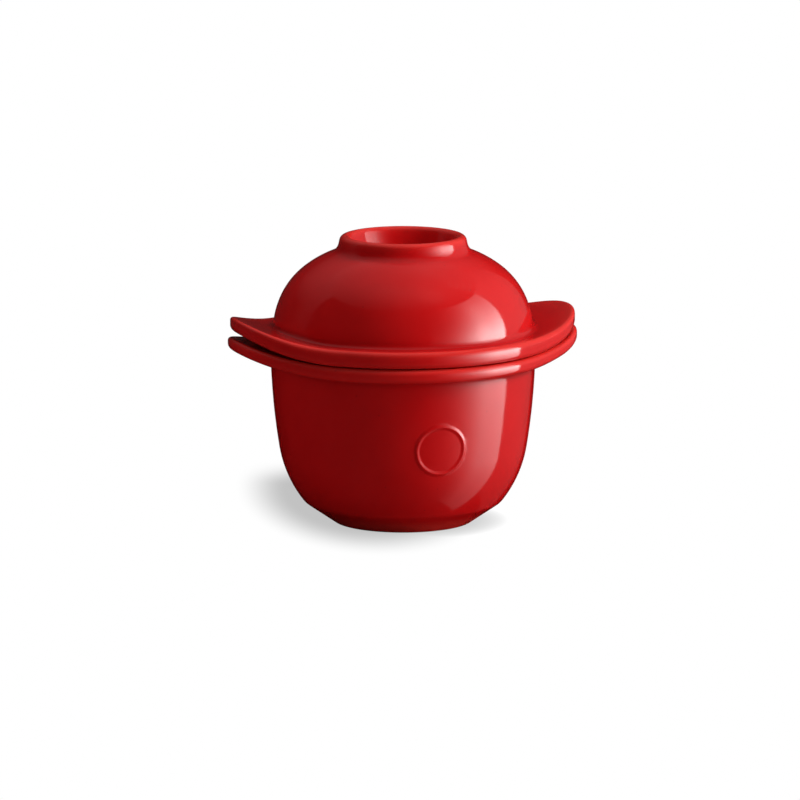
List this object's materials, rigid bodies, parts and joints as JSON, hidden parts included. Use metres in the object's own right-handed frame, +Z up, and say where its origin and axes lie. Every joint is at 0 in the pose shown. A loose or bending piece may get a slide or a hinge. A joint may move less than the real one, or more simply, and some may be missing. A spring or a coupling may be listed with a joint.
{
  "type": "egg cooker",
  "caption": "Glazed ceramic egg cooker: round footed pot under a domed lid, nested rims swept up into ears, and an egg cup sunk in the ring on top.",
  "frame": {"origin": "centre of the pot's foot, on the surface that it stands on", "axes": "+Z up along the axis of the pot and lid, +X towards one ear, the front with its seal faces -Y"},
  "size_m": [0.1368, 0.1132, 0.1108],
  "materials": {
    "pot_glaze": "glossy red glaze over fired clay, bare on the foot ring",
    "lid_glaze": "glossy red glaze over fired clay"
  },
  "bodies": {
    "pot": {"pot": "pot_glaze"},
    "lid": {"lid": "lid_glaze"}
  },
  "joints": [
    {"name": "lid_lift", "type": "slide", "parent": "pot", "child": "lid", "axis": [0, 0, 1], "range_m": [0, 0.1]}
  ]
}
